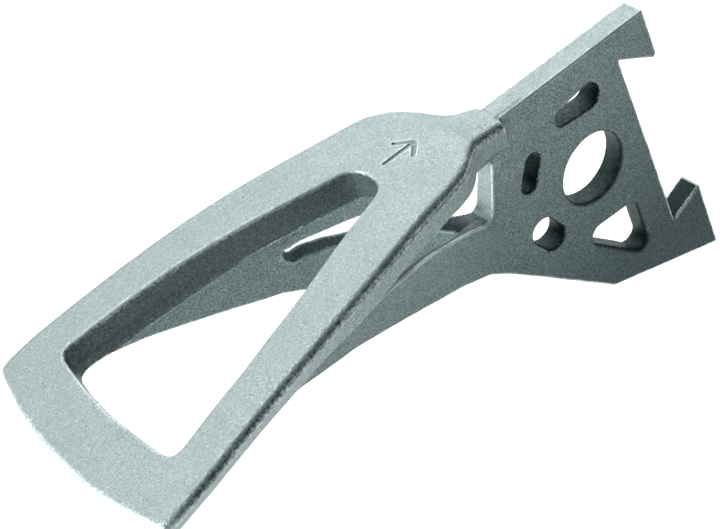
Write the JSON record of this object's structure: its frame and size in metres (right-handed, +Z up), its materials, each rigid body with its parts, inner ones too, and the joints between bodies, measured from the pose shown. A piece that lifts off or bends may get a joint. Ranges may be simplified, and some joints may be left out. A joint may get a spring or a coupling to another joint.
{
  "type": "tree climbing step",
  "caption": "One-piece cast cam-over climbing step: open triangular foot deck, upright web with tree prongs, rope holes and slots, and diverging braces under the deck.",
  "frame": {"origin": "middle of the upper prong's tree face, in the plane of symmetry", "axes": "+X away from the tree along the deck, +Y to the right hand of a climber facing the tree, +Z up, square to the deck"},
  "size_m": [0.23, 0.0932, 0.1453],
  "materials": {
    "cast_aluminium": "as sand cast, satin grain, unpainted"
  },
  "bodies": {
    "root": {"toe_bar": "cast_aluminium", "right_limb": "cast_aluminium", "left_limb": "cast_aluminium", "crown": "cast_aluminium", "neck": "cast_aluminium", "right_brace": "cast_aluminium", "left_brace": "cast_aluminium", "right_rib": "cast_aluminium", "left_rib": "cast_aluminium", "right_gusset": "cast_aluminium", "left_gusset": "cast_aluminium", "web_front": "cast_aluminium", "web_centre": "cast_aluminium", "web_rear": "cast_aluminium", "upper_prong": "cast_aluminium", "lower_prong": "cast_aluminium"}
  },
  "joints": []
}
